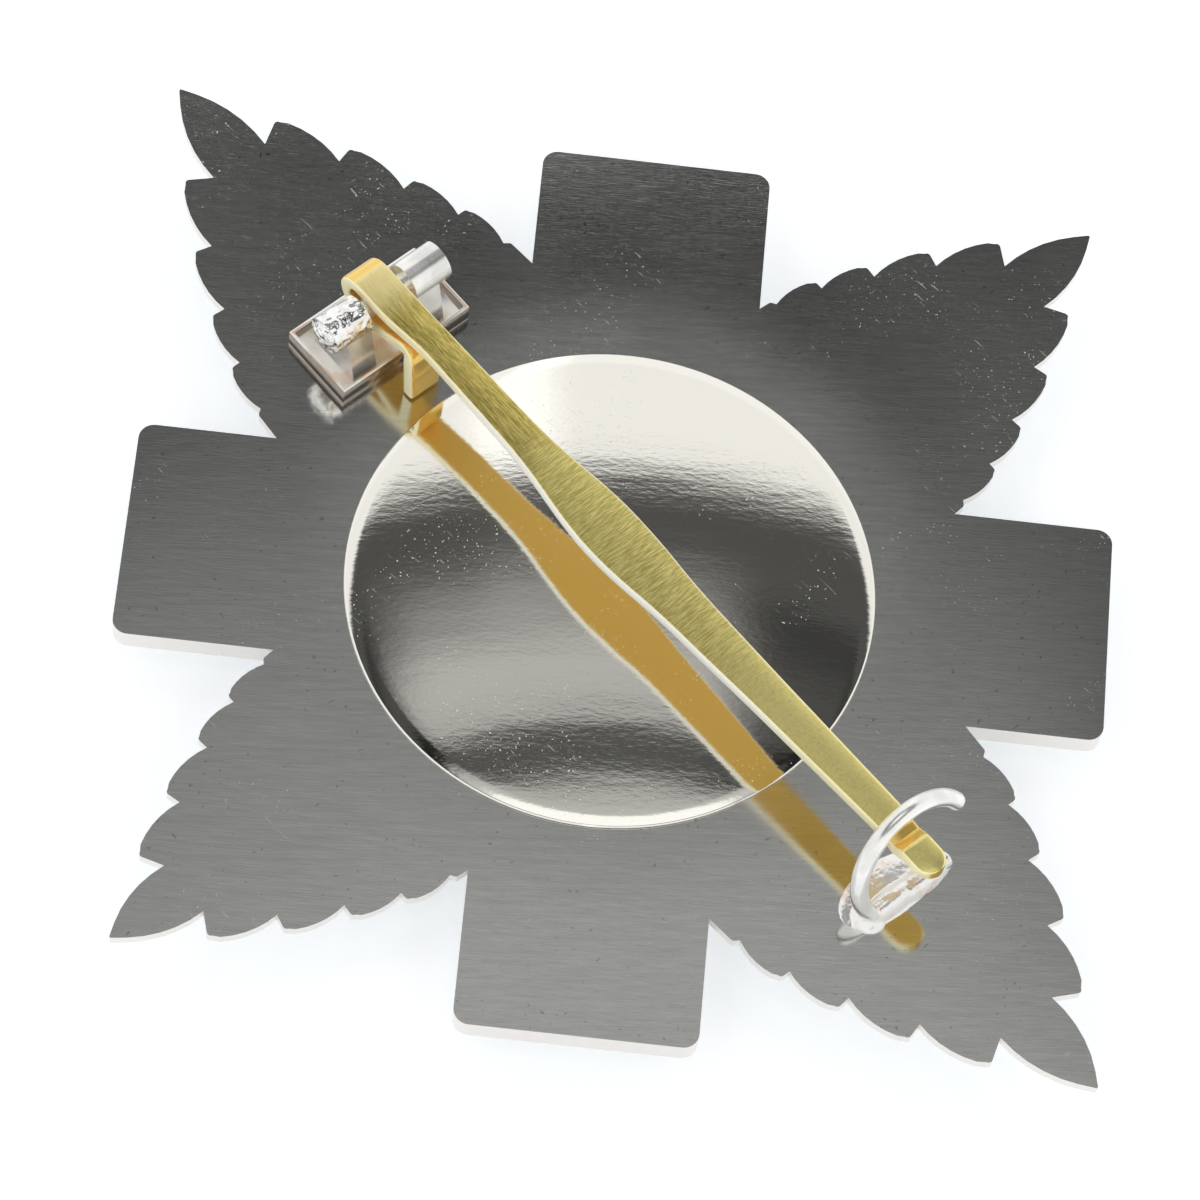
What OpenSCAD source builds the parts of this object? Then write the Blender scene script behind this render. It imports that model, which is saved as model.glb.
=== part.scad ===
// A breast star seen with its back up: four straight arms over four toothed leaves, a domed disc
// in the middle, and a gilt spring pin with its hinge and its catch. X and Y lie in the plate, the
// pin runs along Y, and Z = 0 is the face of the front boss on which the star lies.

/* [Arms] */
// Length of the arms, from end to end across the star
arm_l = 62; // [58:0.5:68]
// Width of an arm
arm_w = 14.9; // [12:0.1:17]
// Thickness of the arms
arm_t = 1.65; // [1.2:0.05:2.5]
// Radius of the corners of an arm
arm_corner_r = 1; // [0.4:0.1:2]

/* [Leaves] */
// Reach of the two long leaves from the centre, along the pin
long_leaf_l = 44.4; // [43:0.1:50]
// Width of a long leaf
long_leaf_w = 20.4; // [18:0.1:22]
// Height by which the tip of a long leaf curls up over the back
long_leaf_rise = 1.7; // [0.5:0.1:3]
// Reach of the two short leaves from the centre, across the pin
short_leaf_l = 40.15; // [38:0.05:46]
// Width of a short leaf
short_leaf_w = 18.5; // [17:0.1:21]
// Height by which the tip of a short leaf curls up over the back
short_leaf_rise = 1.2; // [0.5:0.1:3]
// Distance from the centre at which the leaves begin to curl
curl_start = 21; // [18:0.5:26]
// Thickness of the leaves
leaf_t = 0.75; // [0.5:0.05:1.1]

/* [Front boss] */
// Diameter of the plain boss on the front
boss_d = 28; // [20:0.5:36]
// Height of the front boss over the arms
boss_h = 1.5; // [0.5:0.1:3]

/* [Centre disc] */
// Diameter of the disc on the back
disc_d = 33.4; // [28:0.1:34]
// Height of the disc's rim over the back
disc_rim_h = 0.22; // [0.2:0.01:0.5]
// Height of the disc's crown over the back
disc_crown_h = 0.95; // [0.5:0.05:1.2]
// Gap under the disc
disc_gap = 0.05; // [0.02:0.01:0.15]
// Sideways place of the disc's centre
disc_x = -0.65; // [-1:0.05:1]

/* [Pin] */
// Height of the pin's upper face over the back
pin_top_h = 6.1; // [5.9:0.05:6.3]
// Thickness of the pin's strip
pin_t = 0.95; // [0.7:0.05:1.2]
// Width of the pin's belly
pin_belly_w = 4; // [3:0.1:5.5]
// Sideways place of the pin's middle at the hinge
pin_x = -0.5; // [-0.7:0.05:-0.3]
// Sideways drift of the pin's middle from the hinge to the catch
pin_drift = 0.8; // [0:0.05:1.2]
// Distance of the pin's free end from the centre
pin_end = 29; // [28.5:0.1:30]
// Width of the hairpin loop at the hinge
loop_w = 2.5; // [1.8:0.05:2.7]
// Distance of the hairpin's bend past the rivet
bend_past = 0.93; // [0.6:0.01:1.2]
// Thickness of the hairpin's lower leg and tail
tail_t = 0.9; // [0.7:0.05:1]
// Width of the tail
tail_w = 2.35; // [1.6:0.05:2.5]
// Distance of the tail's foot from the rivet, along the pin
tail_reach = 4.7; // [4.4:0.05:5.2]
// Gap between the tail's foot and the back
tail_gap = 0.25; // [0.1:0.05:0.5]
// Depth of the cross groove near the free end
groove_d = 0.35; // [0.1:0.05:0.5]

/* [Hinge] */
// Distance of the rivet's axis from the centre
hinge_y = 23.07; // [22.9:0.01:24]
// Height of the rivet's axis over the back
hinge_h = 4.5; // [4.4:0.01:4.6]
// Diameter of the rivet
rivet_d = 1.4; // [1.1:0.05:1.5]
// Clearance between the rivet and what it runs in, on the radius
rivet_clear = 0.05; // [0.02:0.01:0.09]
// Diameter of the rivet's peened head
rivet_head_d = 2; // [1.8:0.1:2.4]
// Height of the rivet's peened head
rivet_head_h = 0.35; // [0.2:0.05:0.5]
// Diameter of the knuckle tubes
knuckle_d = 2.65; // [2.4:0.05:3]
// Length of the left knuckle
left_knuckle_l = 2.8; // [2:0.05:3]
// Length of the right knuckle
right_knuckle_l = 3.1; // [2:0.05:3.2]
// Gap between the knuckles
knuckle_gap = 3.6; // [3.5:0.05:3.8]
// Width of the cheeks at the foot
cheek_foot_w = 4.2; // [3.2:0.1:4.4]
// Length of the tray, across the pin
tray_l = 10.3; // [9.9:0.1:11]
// Width of the tray, along the pin
tray_w = 5.6; // [5.4:0.1:6]
// Height of the tray's walls over the back
tray_h = 1.35; // [0.8:0.05:1.5]
// Thickness of the tray's sheet
tray_t = 0.4; // [0.3:0.05:0.5]

/* [Catch] */
// Diameter of the catch's wire
wire_d = 1.15; // [0.9:0.05:1.2]
// Radius of the catch's circle, to the middle of the wire
catch_r = 4.3; // [4.25:0.05:4.6]
// Height of the circle's centre over the foot, along the catch
catch_rise = 2.5; // [2.48:0.01:2.7]
// Sideways place of the circle's centre
catch_x = 0.85; // [0.5:0.01:0.9]
// Distance of the catch's foot from the centre
catch_y = 27.2; // [27:0.05:27.4]
// Lean of the catch towards the centre, in degrees
catch_lean = 18; // [16:0.5:19]
// Angle over the horizontal at which the open end stops
catch_open_angle = 27; // [10:1:40]
// Sideways place of the end of the foot
foot_end_x = 3.3; // [2:0.1:4]
// Depth by which the foot lies in the solder
foot_sink = 0.08; // [0.05:0.01:0.15]
// Height of the solder round the foot
solder_h = 0.45; // [0.2:0.05:0.7]
// Length of the solder across the pin
solder_l = 5; // [4:0.1:6]
// Width of the solder along the pin
solder_w = 5.4; // [4:0.1:6]
// Sideways place of the middle of the solder
solder_x = -0.1; // [-1:0.1:1]

/* [Hidden] */
$fn = 64;
back_z = boss_h + arm_t;
overlap = 0.02;
cut_slack = 2;
far = 100;
// Cones that stand for the dome of the disc, and for a drop of solder
dome_steps = 6;
drop_steps = 4;

// One side of a leaf, from the tip to the root: a notch, then the point of the tooth below it.
// Columns are the distance from the centre as a share of the leaf's reach, and the distance from
// its middle line as a share of half its width.
NOTCH_U = 0;
NOTCH_V = 1;
TOOTH_U = 2;
TOOTH_V = 3;
teeth = [
    [0.860, 0.207, 0.882, 0.372],
    [0.775, 0.515, 0.782, 0.632],
    [0.684, 0.725, 0.686, 0.820],
    [0.603, 0.884, 0.603, 0.951],
    [0.526, 0.982, 0.520, 1.020]
];
// Where the side of a leaf ends inside an arm, in the same shares
leaf_root = [0.42, 1.05];
// Height of the round edges over their chords, as a share of the chord
lobe_bulge = 0.1;
lobe_steps = 4;
// Flats that stand for the curl of a leaf, and for the corner of an arm
curl_steps = 6;
corner_steps = 4;

// The pin's width along its length, from the hinge to the catch. Columns are the distance from
// the rivet as a share of the distance to the free end, the width as a share of the belly, and the
// part of the sideways drift that is reached there.
AT = 0;
WIDE = 1;
DRIFT = 2;
pin_plan = [
    [0.00, 0.53, 0.00],
    [0.07, 0.53, 0.00],
    [0.22, 0.58, 0.00],
    [0.27, 0.61, 0.00],
    [0.31, 0.69, 0.00],
    [0.37, 0.90, 0.00],
    [0.41, 0.99, 0.00],
    [0.45, 0.99, 0.02],
    [0.49, 0.93, 0.10],
    [0.53, 0.82, 0.18],
    [0.57, 0.76, 0.25],
    [0.61, 0.73, 0.32],
    [0.71, 0.65, 0.55],
    [0.90, 0.55, 0.95],
    [0.96, 0.53, 1.00]
];

pin_under_h = pin_top_h - pin_t;
pin_span = hinge_y + pin_end;
tab_w = pin_plan[len(pin_plan) - 1][WIDE] * pin_belly_w;
tab_x = pin_x + pin_drift;
// Where the cross groove ends, is deepest and begins, from the foot of the catch
groove_near = 0.4;
groove_mid = 1.2;
groove_far = 2.6;
bend_y = hinge_y + bend_past;
bend_in_r = rivet_d / 2 + rivet_clear;
bend_out_r = pin_top_h - hinge_h;
// How far the loop and the tail stand to the left of the strip
loop_shift = 0.2;
tail_shift = 0.45;
loop_x = pin_x - loop_shift;
tail_x = pin_x - tail_shift;
// Where the loop's lower leg tucks under the strip, and where the tail leaves it
tuck_run = 0.6;
tuck_drop = 0.3;
tail_near = 0.2;
tail_far = 0.4;

// How far the gap stands to the right of the loop, and the tray's wall past the cheeks
gap_shift = 0.1;
tray_past = 0.9;
gap_left_x = loop_x - knuckle_gap / 2 + gap_shift;
gap_right_x = gap_left_x + knuckle_gap;
knuckle_left_x = gap_left_x - left_knuckle_l;
knuckle_right_x = gap_right_x + right_knuckle_l;
tray_left_x = knuckle_left_x - tray_t;
tray_back_y = hinge_y + cheek_foot_w / 2 + tray_past;

catch_tilt = 90 - catch_lean;
foot_h = wire_d / 2 - foot_sink;
foot_angle = 180 + asin(catch_rise / catch_r);
foot_x = catch_x + catch_r * cos(foot_angle);
elbow_extra = 0.03;
// The two drops of solder: place as a share of its length, place along the pin, added radius
drops = [
    [-0.25, 0.3, 0.2],
    [0.25, 0.1, -0.1]
];

// Points of a round edge from a to b, without its ends. It bulges to the right of the way.
function lobe(a, b, bulge) =
    let (
        chord = norm(b - a),
        along = (b - a) / chord,
        out = [along.y, -along.x],
        height = bulge * chord,
        radius = (chord * chord / 4 + height * height) / (2 * height),
        half = asin(chord / 2 / radius),
        centre = (a + b) / 2 - out * (radius - height)
    )
    [for (i = [1 : lobe_steps - 1])
        let (turn = half * (2 * i / lobe_steps - 1))
        centre + radius * (out * cos(turn) + along * sin(turn))];

function notch(i, reach, half_w) = [teeth[i][NOTCH_V] * half_w, teeth[i][NOTCH_U] * reach];
function tooth(i, reach, half_w) = [teeth[i][TOOTH_V] * half_w, teeth[i][TOOTH_U] * reach];

// Right side of a leaf that points along +Y, from the root to the tip
function leaf_side(reach, half_w) = concat(
    [[leaf_root[1] * half_w, leaf_root[0] * reach]],
    [for (i = [len(teeth) - 1 : -1 : 0])
        let (
            n = notch(i, reach, half_w),
            t = tooth(i, reach, half_w),
            next = i > 0 ? tooth(i - 1, reach, half_w) : [0, reach]
        )
        each concat([t, n], lobe(n, next, lobe_bulge))],
    [[0, reach]]
);

function mirrored(points) = [for (i = [len(points) - 1 : -1 : 0]) [-points[i].x, points[i].y]];

module leaf_outline(reach, leaf_w) {
    side = leaf_side(reach, leaf_w / 2);
    polygon(concat([[0, 0]], side, mirrored(side)));
}

// Side view of a curled sheet, Y to the right and Z up: flat near the centre, then rising as a
// square of the distance
module curl_side(reach, rise) {
    run = reach - curl_start;
    back = [for (i = [0 : curl_steps + 1])
        let (share = i / curl_steps)
        [curl_start + share * run, rise * share * share]];
    front = [for (i = [len(back) - 1 : -1 : 0]) back[i] - [0, leaf_t]];
    polygon(concat([[-cut_slack, -leaf_t], [-cut_slack, 0]], back, front));
}

// One leaf along +Y, its back level with Z = 0
module leaf(reach, leaf_w, rise) {
    intersection() {
        translate([0, 0, -cut_slack]) linear_extrude(2 * (rise + cut_slack))
            leaf_outline(reach, leaf_w);
        along_x(-leaf_w, 2 * leaf_w) curl_side(reach, rise);
    }
}

// One bar of the cross, its corners rounded
module arm_bar() {
    r = arm_corner_r;
    polygon([for (quarter = [0 : 3], i = [0 : corner_steps])
        let (
            sx = quarter == 0 || quarter == 3 ? 1 : -1,
            sy = quarter < 2 ? 1 : -1,
            angle = 90 * (quarter + i / corner_steps)
        )
        [sx * (arm_l / 2 - r) + r * cos(angle), sy * (arm_w / 2 - r) + r * sin(angle)]]);
}

module casting() {
    for (turn = [45, 135])
        translate([0, 0, -arm_t]) rotate(turn) linear_extrude(arm_t) arm_bar();
    for (turn = [0, 180]) rotate(turn) leaf(long_leaf_l, long_leaf_w, long_leaf_rise);
    for (turn = [90, 270]) rotate(turn) leaf(short_leaf_l, short_leaf_w, short_leaf_rise);
    translate([0, 0, -arm_t - boss_h]) cylinder(d = boss_d, h = boss_h + overlap, $fn = 128);
}

// A flat drop of solder on the back
module drop(x, y, r, h) {
    skin = [for (i = [0 : drop_steps])
        let (share = 1 - i / drop_steps)
        [r * share, h * (1 - share * share)]];
    translate([x, y, 0]) rotate_extrude($fn = 12)
        polygon(concat([[0, -overlap], [r, -overlap]], skin));
}

// Side view of a cheek and its knuckle, Y to the right and Z up
module cheek_side() {
    knuckle_r = knuckle_d / 2;
    translate([hinge_y, hinge_h]) circle(knuckle_r);
    polygon([
        [hinge_y - cheek_foot_w / 2, 0],
        [hinge_y + cheek_foot_w / 2, 0],
        [hinge_y + knuckle_r, hinge_h],
        [hinge_y - knuckle_r, hinge_h]
    ]);
}

// A side view drawn in Y and Z, given a length along X from x0
module along_x(x0, length) {
    translate([x0, 0, 0]) rotate([90, 0, 90]) linear_extrude(length) children();
}

module tray() {
    translate([tray_left_x, tray_back_y - tray_w, 0]) difference() {
        translate([0, 0, -overlap]) cube([tray_l, tray_w, tray_h + overlap]);
        translate([tray_t, tray_t, tray_t])
            cube([tray_l - 2 * tray_t, tray_w - 2 * tray_t, tray_h]);
    }
}

module hinge_bracket() {
    difference() {
        union() {
            tray();
            along_x(knuckle_left_x, left_knuckle_l) cheek_side();
            along_x(gap_right_x, right_knuckle_l) cheek_side();
        }
        translate([0, hinge_y, hinge_h]) rotate([0, 90, 0])
            cylinder(d = rivet_d + 2 * rivet_clear, h = far, center = true);
    }
}

// The blunt end of the wire, along +Z
module wire_end() {
    translate([0, 0, -overlap])
        cylinder(d1 = wire_d - 2 * overlap, d2 = wire_d / 2, h = wire_d / 4, $fn = 32);
}

// The catch in its own plane: X across, Y up along the catch, Y = 0 at the foot
module catch_wire() {
    wire_r = wire_d / 2;
    translate([catch_x, catch_rise, 0]) rotate(catch_open_angle) {
        rotate_extrude(angle = foot_angle - catch_open_angle)
            translate([catch_r, 0]) circle(wire_r, $fn = 32);
        translate([catch_r, 0, 0]) rotate([90, 0, 0]) wire_end();
    }
    translate([foot_x, 0, 0]) sphere(wire_r + elbow_extra, $fn = 32);
    translate([foot_x, 0, 0]) rotate([0, 90, 0]) {
        cylinder(r = wire_r, h = foot_end_x - foot_x, $fn = 32);
        translate([0, 0, foot_end_x - foot_x]) wire_end();
    }
}

module catch_hook() {
    translate([0, -catch_y, foot_h]) rotate([catch_tilt, 0, 0]) catch_wire();
    for (d = drops)
        drop(solder_x + d[0] * solder_l, -catch_y + d[1], solder_w / 2 + d[2], solder_h);
}

module star_plate() {
    color("silver") translate([0, 0, back_z]) {
        casting();
        hinge_bracket();
        catch_hook();
    }
}

module centre_disc() {
    dome = [for (i = [dome_steps : -1 : 0])
        let (share = i / dome_steps)
        [share * disc_d / 2, disc_crown_h - (disc_crown_h - disc_rim_h) * share * share]];
    color("gainsboro") translate([disc_x, 0, back_z]) rotate_extrude($fn = 180)
        polygon(concat([[0, disc_gap], [disc_d / 2, disc_gap]], dome));
}

module hinge_rivet() {
    shank_l = knuckle_right_x - knuckle_left_x;
    color("lightgray") translate([knuckle_left_x, hinge_y, back_z + hinge_h]) rotate([0, 90, 0]) {
        cylinder(d = rivet_d, h = shank_l);
        translate([0, 0, -rivet_head_h - overlap]) cylinder(d = rivet_head_d, h = rivet_head_h);
        translate([0, 0, -2 * overlap]) cylinder(d = rivet_d, h = 3 * overlap);
    }
}

function pin_edge(side) = [for (row = pin_plan)
    [pin_x + pin_drift * row[DRIFT] + side * row[WIDE] * pin_belly_w / 2,
        hinge_y - row[AT] * pin_span]];

// The strip seen from above, with its round free end
module strip_plan() {
    right = pin_edge(1);
    left = pin_edge(-1);
    polygon(concat(right, [for (i = [len(left) - 1 : -1 : 0]) left[i]]));
    translate([tab_x, -pin_end + tab_w / 2]) circle(tab_w / 2, $fn = 48);
}

// The strip seen from the side, with the groove that the catch sits in
module strip_side() {
    groove_start = -catch_y + groove_far;
    groove_low = -catch_y + groove_mid;
    groove_stop = -catch_y + groove_near;
    upper = [
        [bend_y, pin_top_h],
        [groove_start, pin_top_h],
        [groove_low, pin_top_h - groove_d],
        [groove_stop, pin_top_h],
        [-pin_end - cut_slack, pin_top_h]
    ];
    lower = [for (i = [len(upper) - 1 : -1 : 0]) [upper[i].x, upper[i].y - pin_t]];
    polygon(concat(upper, lower));
}

// The hairpin round the rivet seen from the side
module loop_side() {
    leg_low = hinge_h - bend_in_r - tail_t;
    leg_end = hinge_y - tail_reach + tail_t;
    difference() {
        translate([bend_y, hinge_h]) circle(bend_out_r);
        translate([bend_y, hinge_h]) circle(bend_in_r);
        translate([bend_y - far, -far]) square([far, 2 * far]);
    }
    difference() {
        polygon([
            [bend_y + overlap, hinge_h - bend_out_r],
            [bend_y + overlap, hinge_h - bend_in_r],
            [hinge_y - bend_in_r, leg_low + tail_t],
            [leg_end, pin_under_h + overlap],
            [leg_end - tuck_run, pin_under_h - tuck_drop],
            [hinge_y - bend_in_r, leg_low]
        ]);
        translate([hinge_y, hinge_h]) circle(bend_in_r);
    }
    translate([hinge_y, pin_under_h]) square([bend_past + overlap, pin_t]);
}

// The tail seen from the side, from the loop's lower leg down to the back
module tail_side() {
    foot_y = hinge_y - tail_reach;
    polygon([
        [foot_y - tail_t / 2, tail_gap],
        [foot_y + tail_t / 2, tail_gap],
        [foot_y + tail_t + tail_far, pin_under_h + overlap],
        [foot_y + tail_near, pin_under_h + overlap]
    ]);
}

module strip() {
    intersection() {
        along_x(-far / 2, far) strip_side();
        translate([0, 0, pin_under_h - cut_slack]) linear_extrude(pin_t + 2 * cut_slack)
            strip_plan();
    }
}

module pin() {
    color("goldenrod") translate([0, 0, back_z]) difference() {
        union() {
            strip();
            along_x(loop_x - loop_w / 2, loop_w) loop_side();
            along_x(tail_x - tail_w / 2, tail_w) tail_side();
        }
        along_x(-far / 2, far) {
            translate([hinge_y, hinge_h]) circle(bend_in_r);
            translate([hinge_y, hinge_h - bend_in_r]) square([bend_past, 2 * bend_in_r]);
        }
    }
}

star_plate();
centre_disc();
hinge_rivet();
pin();
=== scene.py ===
import math

import bmesh
import bpy
from mathutils import Matrix, Vector


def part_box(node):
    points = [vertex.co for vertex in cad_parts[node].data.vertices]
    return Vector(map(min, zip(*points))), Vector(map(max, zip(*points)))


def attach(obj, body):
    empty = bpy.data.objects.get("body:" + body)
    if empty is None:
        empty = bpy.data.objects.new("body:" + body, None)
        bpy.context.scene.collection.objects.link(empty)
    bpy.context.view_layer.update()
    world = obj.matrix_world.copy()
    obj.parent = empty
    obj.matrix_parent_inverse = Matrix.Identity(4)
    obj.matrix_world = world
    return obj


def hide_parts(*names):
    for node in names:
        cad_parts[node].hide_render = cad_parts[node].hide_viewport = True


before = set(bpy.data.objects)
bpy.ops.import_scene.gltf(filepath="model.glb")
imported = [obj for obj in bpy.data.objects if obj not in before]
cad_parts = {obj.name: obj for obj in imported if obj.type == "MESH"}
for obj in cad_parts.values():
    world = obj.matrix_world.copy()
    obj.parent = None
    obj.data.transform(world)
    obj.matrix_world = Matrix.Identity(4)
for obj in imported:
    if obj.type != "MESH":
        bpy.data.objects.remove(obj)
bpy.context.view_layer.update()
bpy.ops.object.select_all(action="DESELECT")

# Sizes are in millimetres, as in the part's source, with Z = 0 at the back of the plate
MM = 0.001
disc_gap = 0.05
back_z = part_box("centre_disc")[0].z / MM - disc_gap

# Arms and leaves
arm_l, arm_w, arm_t, arm_corner_r = 62, 14.9, 1.65, 1
long_leaf_l, long_leaf_w, long_leaf_rise = 44.4, 20.4, 1.7
short_leaf_l, short_leaf_w, short_leaf_rise = 40.15, 18.5, 1.2
curl_start, leaf_t, leaf_sector = 21, 0.75, 10.6
boss_d, boss_h, boss_edge_r = 28, 1.5, 0.3
# One side of a leaf from tip to root: notch, then the point of the tooth below it, each as shares
# of the leaf's reach and of half its width
TEETH = [
    (0.860, 0.207, 0.882, 0.372),
    (0.775, 0.515, 0.782, 0.632),
    (0.684, 0.725, 0.686, 0.820),
    (0.603, 0.884, 0.603, 0.951),
    (0.526, 0.982, 0.520, 1.020),
]
LEAF_ROOT = (0.42, 1.05)
lobe_bulge = 0.1
tooth_r = 0.25
# Width of a leaf's blunt tip, and the length over which it is blunted
tip_wide, tip_blunt = 0.12, 0.08
# Where a leaf starts inside the arms, from its own middle line and from the centre
leaf_start = (1.5, 8)
# Radius of the worn edge round the plate
worn_edge_r = 0.08

# Centre disc
disc_d, disc_rim_h, disc_crown_h, disc_x = 33.4, 0.22, 0.95, -0.65
disc_lip, disc_steps = 0.15, 24

# Pin
pin_top_h, pin_t, pin_belly_w = 6.1, 0.95, 4
pin_x, pin_drift, pin_end = -0.5, 0.8, 29
loop_w, loop_x, bend_past = 2.5, -0.7, 0.93
tail_t, tail_w, tail_x, tail_reach, tail_gap = 0.9, 2.35, -0.95, 4.7, 0.25
groove_d, edge_r = 0.35, 0.2
# The tail's knee: how far in from its foot, how far under the strip, and where its leg is level
knee_in, knee_drop, leg_past = 0.35, 0.42, 0.9
# Where the tail starts to widen and over how much of its way, in halves of the strip's way
widen_from, widen_over = 0.06, 0.1
# The groove: from the catch's wire to its bottom, and its slopes towards the belly and the end
groove_in, groove_slope, groove_short = 1.2, 1.4, 0.8
# Where the strip starts to take the width of the hairpin, and the length over which it does
waist_y, waist_l = 17, 5
# Share of the way from the rivet to the free end, width as a share of the belly, share of the drift
PIN_PLAN = [
    (0.00, 0.53, 0.00),
    (0.07, 0.53, 0.00),
    (0.22, 0.58, 0.00),
    (0.27, 0.61, 0.00),
    (0.31, 0.69, 0.00),
    (0.37, 0.90, 0.00),
    (0.41, 0.99, 0.00),
    (0.45, 0.99, 0.02),
    (0.49, 0.93, 0.10),
    (0.53, 0.82, 0.18),
    (0.57, 0.76, 0.25),
    (0.61, 0.73, 0.32),
    (0.71, 0.65, 0.55),
    (0.90, 0.55, 0.95),
    (0.96, 0.53, 1.00),
]

# Hinge
hinge_y, hinge_h, rivet_d, rivet_clear = 23.07, 4.5, 1.4, 0.05
knuckle_d, left_knuckle_l, right_knuckle_l, knuckle_gap = 2.65, 2.8, 3.1, 3.6
cheek_foot_w, cheek_foot_h, cheek_inset = 4.2, 0.1, 0.05
# How much shorter than its tube each cheek is at its outer end, and the right tube than its room
left_step, right_step, right_short = 0.9, 1.2, 0.25
# How far the tray's sheet goes down into the solder, and past the cheeks
tray_sunk, tray_past = 0.2, 0.9
tray_l, tray_w, tray_h, tray_t, tray_wall = 10.3, 5.6, 1.35, 0.4, 0.26
# Rounding of the tubes' and cheeks' ends, and of the tray's edges
tube_edge_r, tray_edge_r = 0.14, 0.07
# Half sizes of the peened head along X, Y and Z, and how uneven it is
head_size, head_bumps = (0.36, 1.05, 1.05), 0.05
# How far right of the loop the middle of the knuckles' gap lies
gap_shift = 0.1
gap_left_x = loop_x - knuckle_gap / 2 + gap_shift
gap_right_x = gap_left_x + knuckle_gap
knuckle_left_x = gap_left_x - left_knuckle_l
tray_left_x = knuckle_left_x - tray_t
tray_back_y = hinge_y + cheek_foot_w / 2 + tray_past

# Catch
wire_d, catch_r, catch_rise, catch_x, catch_y = 1.15, 4.3, 2.5, 0.85, 27.2
catch_lean, catch_open_angle, foot_end_x, foot_sink = 18, 27, 3.3, 0.08
foot_h = wire_d / 2 - foot_sink
elbow_r = 0.85
# How far a worn end of the wire stands out, as a share of the wire's radius
worn_end = 0.4
# The pool of solder as blobs: place from the catch's foot, half sizes along X and Y, height
SOLDER_BLOBS = [
    (-0.8, 0.8, 3.6, 2.0, 0.34),
    (-1.2, 0.0, 2.9, 0.85, 1.22),
    (1.2, -0.1, 2.4, 0.9, 1.25),
    (-2.9, 0.1, 1.1, 1.2, 0.6),
]
# Mesh size of the solder, and how uneven its skin is
solder_mesh, solder_bumps = 0.09, 0.02


# Tools of the bench

def pick(piece):
    """Only this piece is selected and active."""
    bpy.ops.object.select_all(action="DESELECT")
    piece.select_set(True)
    bpy.context.view_layer.objects.active = piece


def edit(piece):
    """Opens the piece's mesh for editing."""
    pick(piece)
    bpy.ops.object.mode_set(mode="EDIT")
    return bmesh.from_edit_mesh(piece.data)


def done():
    """Closes the mesh that is open."""
    bpy.ops.object.mode_set(mode="OBJECT")


def modify(piece, kind, **settings):
    """Adds a modifier with its settings and applies it."""
    pick(piece)
    change = piece.modifiers.new(kind.lower(), kind)
    for key, value in settings.items():
        setattr(change, key, value)
    bpy.ops.object.modifier_apply(modifier=change.name)


def turned(piece, angle_deg):
    """Turns the piece about Z and keeps the turn in its mesh."""
    pick(piece)
    piece.rotation_euler.z = math.radians(angle_deg)
    bpy.ops.object.transform_apply()


def tidy_faces(piece):
    """Joins points that lie on each other and turns every face outward."""
    edit(piece)
    bpy.ops.mesh.select_all(action="SELECT")
    bpy.ops.mesh.remove_doubles(threshold=0.0005)
    bpy.ops.mesh.normals_make_consistent(inside=False)
    done()


def settle(piece, body, finish, stands_for=(), smooth_deg=35):
    """Brings a piece from bench millimetres to its place on the star, and dresses it."""
    pick(piece)
    bpy.ops.object.transform_apply()
    piece.location.z = back_z * MM
    piece.scale = (MM, MM, MM)
    bpy.ops.object.transform_apply()
    bpy.ops.object.shade_smooth_by_angle(angle=math.radians(smooth_deg))
    piece.data.materials.clear()
    piece.data.materials.append(finish)
    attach(piece, body)
    for node in stands_for:
        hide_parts(node)


def flat_face(name, outline):
    """A flat face with this outline in X and Y."""
    bpy.ops.mesh.primitive_circle_add(vertices=len(outline), fill_type="NGON")
    piece = bpy.context.object
    piece.name = name
    for vertex, (x, y) in zip(piece.data.vertices, outline):
        vertex.co = (x, y, 0)
    return piece


def slab(name, outline, thickness):
    """A plate under Z = 0 with this outline."""
    piece = flat_face(name, outline)
    edit(piece)
    bpy.ops.mesh.select_all(action="SELECT")
    bpy.ops.mesh.extrude_region_move(TRANSFORM_OT_translate={"value": (0, 0, -thickness)})
    bpy.ops.mesh.select_all(action="SELECT")
    bpy.ops.mesh.normals_make_consistent(inside=False)
    done()
    return piece


def round_rims(piece, radius, segments=2):
    """Rounds the sharp outer edges that lie level."""
    mesh = edit(piece)
    bpy.ops.mesh.select_all(action="DESELECT")
    for line in mesh.edges:
        level = abs(line.verts[0].co.z - line.verts[1].co.z) < 0.01
        line.select = (level and line.is_convex and line.is_manifold
                       and line.calc_face_angle() > math.radians(60))
    bmesh.update_edit_mesh(piece.data)
    bpy.ops.mesh.bevel(offset=radius, segments=segments, affect="EDGES", clamp_overlap=True)
    done()


def drawn(name, rings):
    """A solid drawn through a list of rings of points, closed at both ends."""
    bpy.ops.mesh.primitive_circle_add(vertices=len(rings[0]), fill_type="NGON")
    piece = bpy.context.object
    piece.name = name
    for vertex, point in zip(piece.data.vertices, rings[0]):
        vertex.co = point
    edit(piece)
    bpy.ops.mesh.select_all(action="SELECT")
    for before, after in zip(rings, rings[1:]):
        bpy.ops.mesh.extrude_region_move()
        mesh = bmesh.from_edit_mesh(piece.data)
        for vertex in [v for v in mesh.verts if v.select]:
            nearest = min(range(len(before)), key=lambda i: (vertex.co - before[i]).length_squared)
            vertex.co = after[nearest]
        bmesh.update_edit_mesh(piece.data)
    done()
    tidy_faces(piece)
    return piece


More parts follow.
